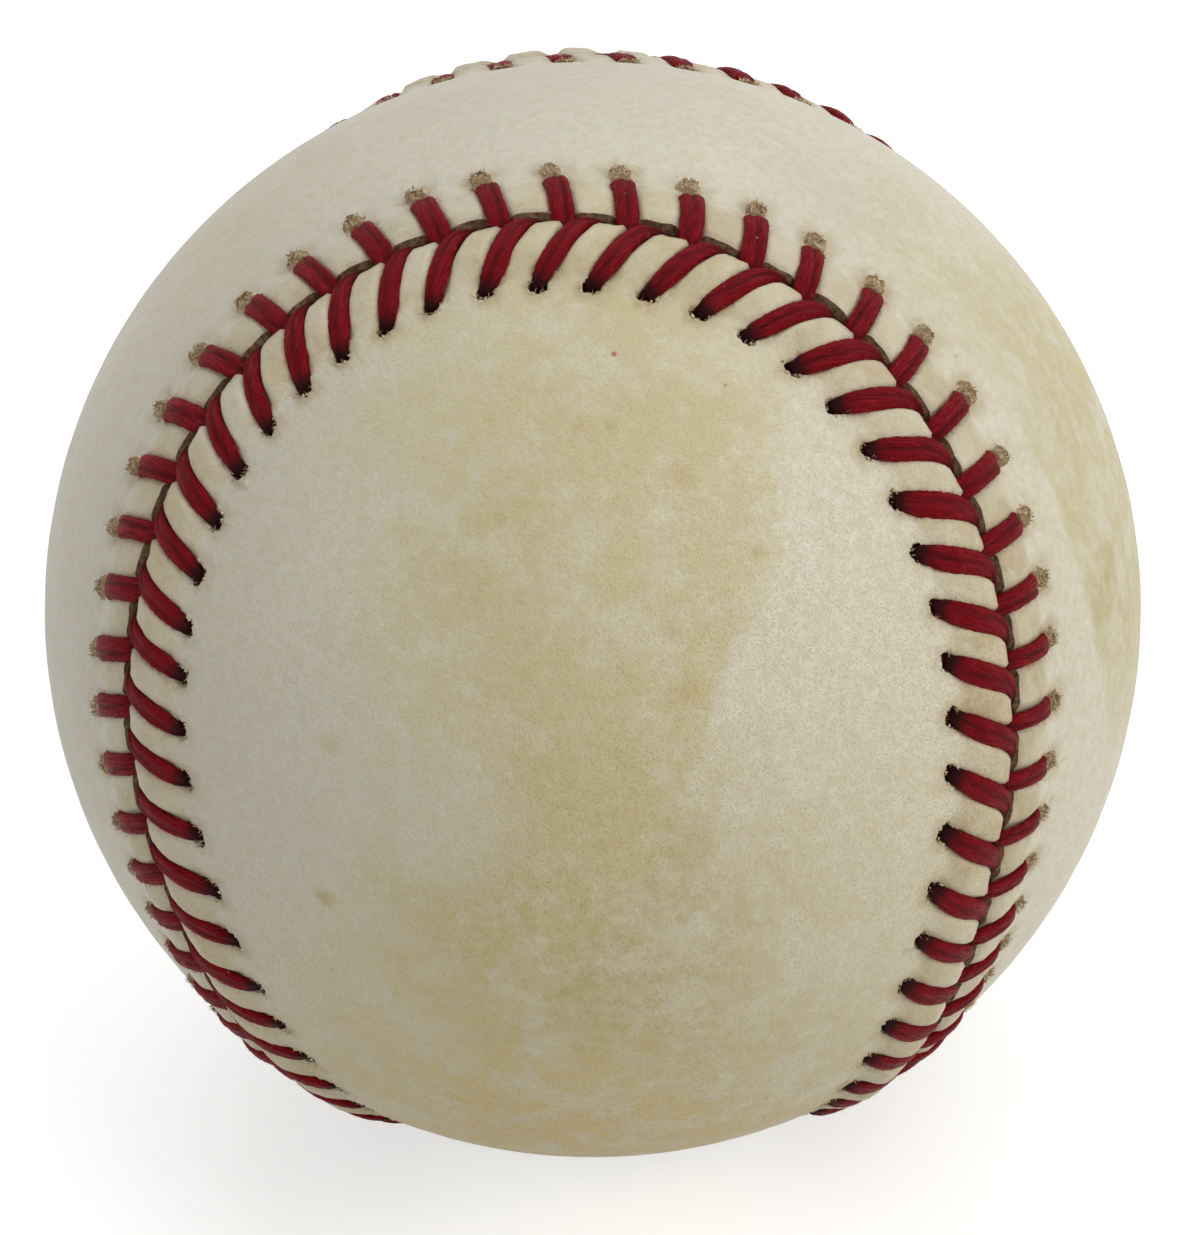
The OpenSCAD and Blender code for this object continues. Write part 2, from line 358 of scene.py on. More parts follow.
# Starts a group that works from a position and from inputs of its own
def newGroup(name, inputs):
    tree = bpy.data.node_groups.new(name, "ShaderNodeTree")
    for label, value in {"Position": (0, 0, 0), **inputs}.items():
        kind = "NodeSocketVector" if isinstance(value, tuple) else "NodeSocketFloat"
        tree.interface.new_socket(label, in_out="INPUT", socket_type=kind).default_value = value
    return tree, tree.nodes.new("NodeGroupInput").outputs


# Ends a group with the values that it puts out
def putOut(tree, values):
    for label in values:
        tree.interface.new_socket(label, in_out="OUTPUT", socket_type="NodeSocketFloat")
    setInputs(tree, tree.nodes.new("NodeGroupOutput"), values)
    return tree


def use(tree, group, sockets):
    node = tree.nodes.new("ShaderNodeGroup")
    node.node_tree = group
    setInputs(tree, node, sockets)
    return node.outputs


# What every ragged edge is given: its softness and raggedness in metres, and its noise's scale
edge = {"Softness": 0.002, "Ragged": 0.004, "Scale": 300}
# Noise runs from 0 to 1 about this
noiseMiddle = 0.5


# Adds noise to a distance and turns it into a mask that is 1 where the distance is under zero
def raggedGroup():
    tree, given = newGroup("raggedEdge", {"Distance": 0, **edge})
    wave = noise(tree, given["Position"], given["Scale"], detail=6, roughness=0.6)
    wave = maths(tree, "SUBTRACT", wave, noiseMiddle)
    total = maths(tree, "MULTIPLY_ADD", wave, given["Ragged"], given["Distance"])
    low = times(tree, given["Softness"], -1)
    return putOut(tree, {"Mask": ranged(tree, total, given["Softness"], low, kind="SMOOTHSTEP")})


# A mask with a ragged edge, 1 where the position, measured against a mark, is under a limit
def markGroup(name, operation, inputs):
    tree, given = newGroup(name, {**inputs, **edge})
    mark, limit = inputs
    reach = vectorMaths(tree, operation, given["Position"], given[mark])
    mask = use(tree, raggedEdge, {
        "Distance": maths(tree, "SUBTRACT", reach, given[limit]),
        **{key: given[key] for key in ("Position", *edge)}})
    return putOut(tree, {"Mask": mask["Mask"]})


# Noises are given as scale, detail and roughness.
grain = {
    "warp": (1100, 0.0005),
    "finerCells": 1.17,
    "poreMiddle": 0.04,
    "poreDepth": -0.35,
    "fine": (3000, 4, 0.6),
    "shade": (1500, 5, 0.7),
}


# The hide's pebbled grain, broken up by noise, with its pores and its finest shades
def grainGroup():
    tree, given = newGroup("hideGrain", {"Cells": 4800, "Pore Size": 0.46})
    place = warped(tree, given["Position"], *grain["warp"])
    scales = given["Cells"], times(tree, given["Cells"], grain["finerCells"])
    cells = [put(tree, "ShaderNodeTexVoronoi", {"Vector": place, "Scale": scale}).outputs["Distance"]
             for scale in scales]
    nearest = maths(tree, "MINIMUM", *cells)
    pore = ranged(tree, nearest, given["Pore Size"], grain["poreMiddle"], kind="SMOOTHSTEP")
    fine = noise(tree, given["Position"], *grain["fine"])
    return putOut(tree, {
        "Height": maths(tree, "MULTIPLY_ADD", pore, grain["poreDepth"], fine),
        "Pore": pore,
        "Shade": noise(tree, given["Position"], *grain["shade"])})


rawFibre = {"pale": (0.34, 0.64), "patches": (800, 3), "patchPale": (0.3, 0.7, 0.35, 1)}


# Short fibres of torn or cut hide
def rawFibreGroup():
    tree, given = newGroup("rawFibres", {"Scale": 3000})
    fibres = noise(tree, given["Position"], given["Scale"], detail=5, roughness=0.7)
    patches = ranged(tree, noise(tree, given["Position"], *rawFibre["patches"]), *rawFibre["patchPale"])
    pale = times(tree, ranged(tree, fibres, *rawFibre["pale"]), patches)
    return putOut(tree, {"Height": fibres, "Pale": pale})


# Yarn wound many ways round a ball
def woundGroup():
    tree, given = newGroup("woundYarn", {"Scale": 400})
    bands = put(tree, "ShaderNodeTexWave", {
        "Vector": warped(tree, given["Position"], scale=60, size=0.02), "Scale": given["Scale"],
        "Distortion": 2, "Detail": 3}, bands_direction="DIAGONAL")
    return putOut(tree, {"Strand": bands.outputs["Fac"]})


raggedEdge = raggedGroup()
# A round patch, and everything on one side of a plane
raggedPatch = markGroup("raggedPatch", "DISTANCE", {"Centre": (0, 0, 0), "Radius": 0.01})
raggedBorder = markGroup("raggedBorder", "DOT_PRODUCT", {"Normal": (1, 0, 0), "Offset": 0})
hideGrain = grainGroup()
rawFibres = rawFibreGroup()
woundYarn = woundGroup()


def emptyTree(owner):
    owner.use_nodes = True
    owner.node_tree.nodes.clear()
    return owner.node_tree


# A material with its Principled shader, and the position on the object to paint by
def newMaterial(name, sockets):
    material = bpy.data.materials.new(name)
    tree = emptyTree(material)
    shader = put(tree, "ShaderNodeBsdfPrincipled", sockets)
    put(tree, "ShaderNodeOutputMaterial", {"Surface": shader.outputs[0]})
    return material, tree, shader, put(tree, "ShaderNodeTexCoord").outputs["Object"]


def addBump(tree, shader, height, strength, distance):
    bump = put(tree, "ShaderNodeBump", {"Height": height, "Strength": strength, "Distance": distance})
    if shader.inputs["Normal"].is_linked:
        tree.links.new(shader.inputs["Normal"].links[0].from_socket, bump.inputs["Normal"])
    tree.links.new(bump.outputs[0], shader.inputs["Normal"])


def attributeOf(tree, name, output="Fac"):
    return put(tree, "ShaderNodeAttribute", attribute_name=name).outputs[output]


# Colours are scene linear. Noises are scale, detail and roughness. Ranges of four run from low to high
# and give what a mask comes out as at each end, and bumps are strength and distance in metres. A patch
# is a pixel of the photograph, then its radius, softness and raggedness in mm, its noise scale, its
# strength and its colour. A border is three pixels.
leatherLook = {
    "clean": (0.82, 0.785, 0.64, 1),
    # The leather's grey tone, also painted as shade towards the view's left
    "cool": (0.71, 0.685, 0.585, 1),
    "stain": (0.65, 0.58, 0.31, 1),
    "honey": (0.76, 0.58, 0.20, 1),
    "deep": (0.49, 0.405, 0.165, 1),
    "tan": (0.42, 0.29, 0.13, 1),
    "brown": (0.52, 0.35, 0.09, 1),
    "red": (0.45, 0.10, 0.10, 1),
    "lip": (0.60, 0.51, 0.31, 1),
    "speckle": (0.68, 0.58, 0.38, 1),
    "pore": (0.46, 0.24, 0.05, 1),
    "edgeDark": (0.22, 0.16, 0.09, 1),
    "clouds": (45, 5, 0.55),
    "blotches": (260, 6, 0.7),
    "specks": (900, 4, 0.7),
    "swells": (900, 3),
    "cloudWarmth": (0.35, 0.65, -0.3, 0.3),
    # Painted shade: how the leather turns to the cool colour towards the view's left, across in metres
    "sideShade": (-0.022, 0.02, 0, 1),
    "borderEdge": {"Softness": 0.0006, "Ragged": 0.005, "Scale": 150},
    "blotchLace": (0.4, 0.54, 0.35, 1),
    "speckLace": (0.36, 0.58, 0.5, 1.1),
    "lipAcross": (4.2, 3.4, 0, 0.85),
    "lipClouds": (0.3, 0.6, 0.4, 1),
    "yellowed": (0.35, 0.55, 0.5, 1),
    "handled": (0.5, 0.66, 0, 0.55),
    "rimBlotches": (0.38, 0.6, 0.05, 0.75),
    "edgeDarkAcross": (0.35, -0.25, 0, 0.6),
    "openSide": 0.5,
    "open": (-0.012, 0.026),
    "closedShare": 0.35,
    "poreClouds": (0.35, 0.6, 0.5, 1),
    "grainShade": (0.42, 0.6, 0, 0.5),
    "rough": (0.2, 0.8, 0.42, 0.6),
    "grainBump": (0.45, 0.00012),
    "swellBump": (0.4, 0.00025),
    "upper": {
        "border": ((1033, 447), (1067, 530), (1093, 623)), "insideOf": 1, "poreStrength": 0.18,
        "bordered": (
            ((1120, 480), 15, 5, 4, 90, 0.95, "stain"), ((1110, 590), 4, 2, 3, 200, 0.4, "deep")),
        "free": (
            ((850, 200), 4, 5, 4, 150, 0.9, "cool"), ((960, 270), 7, 5, 6, 120, 0.55, "stain"),
            ((610, 200), 3, 2.5, 3, 200, 0.4, "stain"),
            ((560, 190), 2, 1.5, 2, 200, 0.3, "stain"), ((230, 230), 6, 5, 5, 100, 0.35, "stain")),
        "spots": (
            ((1130, 590), 0.3, 0.2, 0.4, 900, 0.3, "tan"),
            ((956, 356), 0.12, 0.1, 0.1, 900, 0.6, "tan")),
    },
    "lower": {
        "border": ((783, 445), (741, 647), (652, 858)), "insideOf": -1, "poreStrength": 0.66,
        "bordered": (
            ((560, 380), 11, 7, 7, 100, 0.55, "stain"), ((590, 560), 13, 7, 8, 100, 0.48, "stain"),
            ((460, 480), 9, 6, 8, 130, 0.4, "stain"),
            ((600, 760), 10, 7, 8, 110, 0.48, "stain"), ((560, 920), 12, 7, 8, 120, 0.6, "stain"),
            ((570, 850), 8, 6, 8, 160, 0.4, "deep"), ((650, 690), 6, 5, 7, 160, 0.3, "deep"),
            ((500, 560), 5, 4, 6, 160, 0.25, "deep"), ((620, 430), 5, 4, 6, 160, 0.2, "deep"),
            ((690, 450), 7, 4, 6, 130, 0.45, "stain"), ((670, 620), 7, 4, 6, 150, 0.5, "stain"),
            ((640, 790), 7, 4, 6, 150, 0.35, "stain")),
        "free": (
            ((600, 1150), 22, 12, 6, 60, 0.95, "stain"), ((590, 930), 10, 7, 6, 120, 0.95, "deep"),
            ((600, 1150), 12, 8, 6, 120, 0.9, "honey"), ((450, 650), 5, 4, 4, 160, 0.55, "stain"),
            ((430, 1060), 9, 8, 5, 120, 0.35, "honey"), ((640, 340), 9, 7, 6, 110, 0.4, "stain"),
            ((800, 900), 14, 11, 5, 70, 0.32, "stain"), ((620, 240), 6, 3, 4, 200, 0.4, "deep")),
        "spots": (
            ((452, 825), 3.4, 2.8, 3, 220, 0.6, "cool"),
            ((326, 898), 0.5, 0.5, 1.3, 900, 0.75, "brown"),
            ((683, 477), 0.5, 0.8, 1.6, 700, 0.6, "brown"),
            ((757, 552), 0.3, 0.5, 0.8, 700, 0.5, "brown"),
            ((672, 632), 0.4, 0.8, 1.4, 700, 0.5, "brown"),
            ((687, 696), 0.6, 1.0, 1.8, 700, 0.6, "brown"),
            ((579, 428), 0.3, 0.6, 1.0, 700, 0.5, "brown"),
            ((609, 426), 0.2, 0.5, 0.8, 700, 0.4, "brown"),
            ((490, 418), 0.3, 0.5, 0.8, 700, 0.4, "brown"),
            ((498, 520), 0.4, 0.6, 1.0, 700, 0.4, "brown"),
            ((330, 745), 0.5, 0.6, 0.9, 700, 0.35, "brown"),
            ((614, 354), 0.16, 0.08, 0.05, 900, 0.95, "red"),
            ((725, 385), 0.1, 0.06, 0, 900, 0.6, "red")),
    },
}


def leatherMaterial(name, panel):
    look = leatherLook
    marks = look[panel]
    material, tree, shader, position = newMaterial(name, {
        "Specular IOR Level": 0.3, "Sheen Weight": 0.06, "Sheen Roughness": 0.5})

    def read(value, key):
        return ranged(tree, value, *look[key])

    clouds, blotches, specks = (
        noise(tree, position, *look[key]) for key in ("clouds", "blotches", "specks"))
    # Cooler in random clouds, greyer and darker towards the view's left as painted shade, and with its
    # pores more open to the right and below
    rightward = vectorMaths(tree, "DOT_PRODUCT", position, tuple(viewRight))
    downward = vectorMaths(tree, "DOT_PRODUCT", position, tuple(-viewUp))
    openness = maths(tree, "MULTIPLY_ADD", rightward, look["openSide"], downward)
    warmthAndShade = maths(tree, "ADD", read(clouds, "cloudWarmth"), read(rightward, "sideShade"))
    colour = mixed(tree, warmthAndShade, look["cool"], look["clean"])

    border = [onBall(pixel) for pixel in marks["border"]]
    normal = unit(np.cross(border[1] - border[0], border[2] - border[0]))
    normal = normal * np.sign(normal @ viewRight) * -marks["insideOf"]
    inside = use(tree, raggedBorder, {
        "Position": position, "Normal": tuple(normal), "Offset": float(normal @ border[0]),
        **look["borderEdge"]})["Mask"]
    lace = times(tree, read(blotches, "blotchLace"), read(specks, "speckLace"))
    for kind in ("free", "bordered", "spots"):
        for pixel, reach, soft, torn, scale, strength, shade in marks[kind]:
            mask = use(tree, raggedPatch, {
                "Position": position, "Centre": tuple(onBall(pixel)), "Radius": reach * mm,
                "Softness": soft * mm, "Ragged": torn * mm, "Scale": scale})["Mask"]
            mask = times(tree, mask, strength)
            if kind != "spots":
                mask = times(tree, mask, lace)
            if kind == "bordered":
                mask = times(tree, mask, inside)
            colour = mixed(tree, mask, colour, look[shade])

    # The lips are yellowed by handling, the holes have tan rims, and the leather darkens towards the cut
    # edges
    seamPlace = attributeOf(tree, "seamPlace")
    lip = times(tree, read(seamPlace, "lipAcross"), read(clouds, "lipClouds"))
    colour = mixed(tree, times(tree, lip, read(blotches, "yellowed")), colour, look["lip"])
    colour = mixed(tree, times(tree, lip, read(blotches, "handled")), colour, look["tan"])
    rim = times(tree, attributeOf(tree, "holeNear"), read(blotches, "rimBlotches"))
    colour = mixed(tree, rim, colour, look["tan"])
    colour = mixed(tree, read(seamPlace, "edgeDarkAcross"), colour, look["edgeDark"])

    pebbles = use(tree, hideGrain, {"Position": position})
    most = marks["poreStrength"]
    opened = ranged(tree, openness, *look["open"], look["closedShare"] * most, most)
    pored = times(tree, read(clouds, "poreClouds"), opened)
    colour = mixed(tree, times(tree, pebbles["Pore"], pored), colour, look["pore"])
    colour = mixed(tree, read(pebbles["Shade"], "grainShade"), colour, look["speckle"])
    setInputs(tree, shader, {"Base Color": colour, "Roughness": read(blotches, "rough")})
    addBump(tree, shader, pebbles["Height"], *look["grainBump"])
    addBump(tree, shader, noise(tree, position, *look["swells"]), *look["swellBump"])
    return material


# Ranges are insets from the seam, and what the dark's share comes out as.
rawLook = {"gapDark": (0.75, 0.2, 0, 0.85), "holeBack": (4.8, 5.2, 0), "bump": (0.9, 0.0002)}


# The cut face of the leather, darker towards the bottom of the gap and at a hole's outer end
def rawLeatherMaterial(name, pale, dark, outerDark=0):
    material, tree, shader, position = newMaterial(name, {"Roughness": 0.9, "Specular IOR Level": 0.12})
    fibres = use(tree, rawFibres, {"Position": position})
    colour = mixed(tree, fibres["Pale"], dark, pale)
    seamPlace = attributeOf(tree, "seamPlace")
    colour = mixed(tree, ranged(tree, seamPlace, *rawLook["gapDark"]), colour, dark)
    colour = mixed(tree, ranged(tree, seamPlace, *rawLook["holeBack"], outerDark), colour, dark)
    setInputs(tree, shader, {"Base Color": colour})
    addBump(tree, shader, fibres["Height"], *rawLook["bump"])
    return material


# Waxed two-ply thread: long streaks of fibre, with painted highlights, painted shade in its grooves and at
# its seam end, and painted shadow with some soot where it goes into its hole
threadLook = {
    "base": (0.30, 0.004, 0.011, 1),
    "deep": (0.10, 0.001, 0.004, 1),
    # A lighter red for painted highlights
    "paintedHighlight": (0.52, 0.03, 0.04, 1),
    # Near black for painted shade and shadow, with some soot
    "sootAndShadow": (0.012, 0.003, 0.003, 1),
    "wax": (0.62, 0.36, 0.28, 1),
    "streaks": (0.45, 5.5, 1),  # a mm along the leg, a radian round it, a leg
    "streakNoise": (2.0, 5, 0.65),
    "patches": (900, 3),
    "waxSpots": (2400, 2),
    "baseRange": (0.36, 0.6),
    "highlightPatches": (0.45, 0.7, 0, 0.9),
    "highlightStreaks": (0.52, 0.7),
    "waxRange": (0.75, 0.8, 0, 0.6),
    "rough": (0.35, 0.65, 0.55, 0.34),
    "bump": (0.7, 0.0002),
}


def threadMaterial(name):
    look = threadLook
    material, tree, shader, position = newMaterial(name, {"Specular IOR Level": 0.07})
    place = attributeOf(tree, "threadPlace", "Vector")
    stretched = put(tree, "ShaderNodeMapping", {"Vector": place, "Scale": look["streaks"]}).outputs[0]
    streaks = noise(tree, stretched, *look["streakNoise"])
    colour = mixed(tree, ranged(tree, streaks, *look["baseRange"]), look["deep"], look["base"])
    # Painted highlights: the brightest streaks, in patches, turn a lighter red
    highlightMask = times(tree, ranged(tree, streaks, *look["highlightStreaks"]),
                  ranged(tree, noise(tree, position, *look["patches"]), *look["highlightPatches"]))
    colour = mixed(tree, highlightMask, colour, look["paintedHighlight"])
    # Near black where shade and shadow are painted: in the groove, at the seam end, and in the hole with
    # some soot
    colour = mixed(tree, attributeOf(tree, "threadShadeAndSoot"), colour, look["sootAndShadow"])
    wax = ranged(tree, noise(tree, position, *look["waxSpots"]), *look["waxRange"])
    colour = mixed(tree, wax, colour, look["wax"])
    setInputs(tree, shader, {"Base Color": colour, "Roughness": ranged(tree, streaks, *look["rough"])})
    addBump(tree, shader, streaks, *look["bump"])
    return material


fibreLook = {"patches": (1100, 2), "patchShade": (0.4, 0.6, -0.3, 0.3)}


# Loose fibres, each with its own shade
def fibreMaterial(name, dark, pale):
    material, tree, shader, position = newMaterial(name, {"Roughness": 0.7, "Specular IOR Level": 0.15})
    patches = ranged(tree, noise(tree, position, *fibreLook["patches"]), *fibreLook["patchShade"])
    shade = maths(tree, "ADD", patches, attributeOf(tree, "fibreShade"))
    setInputs(tree, shader, {"Base Color": mixed(tree, shade, dark, pale)})
    return material


rawTan = rawLeatherMaterial("rawLeatherTan", (0.88, 0.75, 0.50, 1), (0.27, 0.145, 0.05, 1), 0.6)
# The lower panel's deep holes are painted near black: a painted shadow in the holes
holeShadowLeather = rawLeatherMaterial("holeShadowPainted", (0.06, 0.04, 0.025, 1), (0.008, 0.006, 0.005, 1))
edgeBrown = rawLeatherMaterial("rawEdgeBrown", (0.36, 0.235, 0.125, 1), (0.07, 0.026, 0.017, 1))
upperLeather = leatherMaterial("upperLeather", "upper")
lowerLeather = leatherMaterial("lowerLeather", "lower")
threadRed = threadMaterial("waxedThread")
fuzzRed = fibreMaterial("threadFuzz", (0.22, 0.02, 0.025, 1), (0.60, 0.20, 0.18, 1))
fibreTan = fibreMaterial("leatherFibres", (0.25, 0.125, 0.04, 1), (0.94, 0.83, 0.58, 1))
print("made the materials")


# The two leather panels

# Each profile crosses the lip from the cut edge inwards, as (inset from the seam, up from the ball).
# The first four points are the cut edge. The leather follows "tongue" between two legs of thread
# and "valley" under a leg.
panels = {
    "upper": {
        "tongue": ((0.1, -1.2), (0.2, -0.75), (0.6, -0.2), (1.12, 0.24), (1.5, 0.42), (2.1, 0.5),
                   (3.0, 0.42), (3.9, 0.2), (4.7, 0.04), (5.7, 0), (7.2, 0), (8.8, 0)),
        "valley": ((0.15, -1.2), (0.3, -0.85), (0.7, -0.45), (1.1, -0.12), (1.5, 0.02), (2.1, 0.12),
                   (3.0, 0.1), (3.9, 0.02), (4.7, -0.04), (5.7, 0), (7.2, 0), (8.8, 0)),
        "rows": (2, 2, 3, 3, 4, 4, 5, 6, 8, 2, 1),
        "valleyHalf": (0.35, 1.1),
        "hole": {"inset": 4.86, "along": 0.6, "across": 0.7, "depth": 0.7, "rim": 0.05, "foot": 4.34},
        "farLift": 0,
        "materials": (upperLeather, edgeBrown, rawTan),
        "seed": 21,
    },
    "lower": {
        "tongue": ((0.35, -1.2), (-0.05, -0.65), (-0.24, -0.1), (-0.2, 0.3), (0.3, 0.62), (1.3, 0.84),
                   (2.3, 0.76), (3.2, 0.42), (4.05, 0.1), (5.1, 0), (6.8, 0), (8.8, 0)),
        "valley": ((0.95, -1.2), (0.6, -0.9), (0.5, -0.6), (0.62, -0.25), (1.0, 0.02), (1.6, 0.18),
                   (2.4, 0.2), (3.2, 0.06), (4.05, -0.08), (5.1, 0), (6.8, 0), (8.8, 0)),
        "rows": (2, 2, 3, 4, 4, 4, 5, 6, 8, 2, 1),
        "valleyHalf": (0.35, 1.15),
        "hole": {"inset": 4.25, "along": 0.6, "across": 0.56, "depth": 1.0, "rim": 0.15, "foot": 9},
        "farLift": 0.5,
        # Its hole pits take the painted shadow
        "materials": (lowerLeather, edgeBrown, holeShadowLeather),
        "seed": 22,
    },
}
# Where each face's material stands in a panel's list
outerFace, cutFace, pitFace = 0, 1, 2
# The cut edge ends at this point of a profile, with two more rows beside it for a crisp corner
cutRows = 3
cornerRows = (2.93, 3.07)
# Places of a pitch's columns, from one hole to the next: close together at the hole's sides
columnShares = (-0.25, -0.2, -0.155, -0.11, -0.065, -0.02, 0.025, 0.07, 0.115, 0.16, 0.205, 0.255,
                0.32, 0.39, 0.46, 0.53, 0.6, 0.68)
# Every so many columns go on across the middle of the panel, in strips of so many cells
coarseStep = 3
stripCells = 16
# Inset and depth under the outer face of the rows of the inner face
innerRows = ((1.5, -0.4), (2.6, -0.45), (3.8, -0.85), (4.8, -ball["leather"]), (8.8, -ball["leather"]))
# The inset that the materials are given in the middle of a panel
farInside = 20.0

# Each unevenness of the leather: its height, its waves to a stitch and to a row or a mm across, and
# what it adds to the panel's seed
unevenness = {
    "swell": (0.16, 1, 0.7, 0),
    "ripple": (0.035, 7, 2.2, 5),
    "tear": (0.08, 4, 0, 9),
    "fineTear": (0.04, 11, 0, 7),
    "holeEdge": (0.2, 14, 3, 13),
    "rough": (1, 17, 5, 17),
    "tuft": (0.3, 29, 8, 19),
}
# Insets, or rows for the tear, over which a form of the lip comes in or ends
lipRanges = {"fullStart": (-0.3, 0.6), "fullEnd": (8.5, 2.5), "ripple": (5.2, 3.5), "tear": (4.4, 3.3)}
# Ranges are reaches from a hole's middle, 1 at its edge
holes = {
    "power": 3.2,
    "pit": (1.12, 0.8),
    "rimReach": 1.25,
    "rimWidth": 0.25,
    "dip": 0.1,
    "dipRange": (2.4, 1.2),
    "roughFloor": 0.25,
    "footSoftness": 0.12,
    "tuft": 0.52,
    "tuftRange": (1.15, 0.62),
    "roughTuft": 0.3,
    "rawFrom": 0.42,
    "near": (2.7, 1.0),
}


# One unevenness at stitches, across rows or insets
def uneven(kind, panel, stitch, across):
    height, waves, wavesAcross, ownSeed = unevenness[kind]
    seed = panels[panel]["seed"] + ownSeed
    return height * latticeNoise(stitch * waves, across * wavesAcross, seed, ball["stitches"] * waves)


# How high the torn leather stands in a stitch's hole
def tuftHeight(panel, stitch):
    return holes["tuft"] * sewn(panel, "tufts", np.round(stitch), 4) if panel == "upper" else 0


# The outer face over stitches and rows: its inset, its height, how far outside its hole each point
# lies, 1 at the hole's edge, and how far it belongs to the pit
def outerShape(panel, stitch, rows):
    made = panels[panel]
    along = (stitch - np.round(stitch)) * pitch
    tongue, valley = through(made["tongue"], rows), through(made["valley"], rows)
    rows = rows[:, None]

    # The lip, swelling a little differently at each tongue, with a torn edge
    share = smooth(*made["valleyHalf"], np.abs(along))
    inset = valley[:, :1] + (tongue[:, :1] - valley[:, :1]) * share
    swell = 1 + uneven("swell", panel, stitch, rows)
    up = valley[:, 1:] + (tongue[:, 1:] - valley[:, 1:]) * share * swell
    # The far lip is fuller, half as much under a leg
    fuller = made["farLift"] * farShare(stitch) * (0.5 + 0.5 * share)
    up = up + fuller * smooth(*lipRanges["fullStart"], inset) * smooth(*lipRanges["fullEnd"], inset)
    up = up + uneven("ripple", panel, stitch, rows) * smooth(*lipRanges["ripple"], inset)
    torn = uneven("tear", panel, stitch, rows) + uneven("fineTear", panel, stitch, rows)
    inset = inset + smooth(*lipRanges["tear"], rows) * torn

    # Punched holes: a ragged pit, with a little dip round it and a raised rim
    hole = made["hole"]
    power = holes["power"]
    across = np.abs(inset - hole["inset"]) / hole["across"]
    reach = ((np.abs(along) / hole["along"]) ** power + across**power) ** (1 / power)
    reach = reach * (1 + uneven("holeEdge", panel, stitch, inset))
    pit = smooth(*holes["pit"], reach)
    rough = uneven("rough", panel, stitch, inset)
    rim = np.exp(-(((reach - holes["rimReach"]) / holes["rimWidth"]) ** 2))
    up = up + hole["rim"] * rim * (1 + rough)
    # The thread tears the raw inside of the upper panel's holes up into tufts behind the leg's end
    soft = holes["footSoftness"]
    behind = smooth(hole["foot"] - soft, hole["foot"] + soft, inset)
    tuft = smooth(*holes["tuftRange"], reach) * behind * tuftHeight(panel, stitch)
    tuft = tuft * (1 + holes["roughTuft"] * rough + uneven("tuft", panel, stitch, inset))
    floor = pit * hole["depth"] * (1 - behind) * (1 + holes["roughFloor"] * rough)
    up = up - holes["dip"] * smooth(*holes["dipRange"], reach) - floor + tuft
    return inset, up, reach, pit


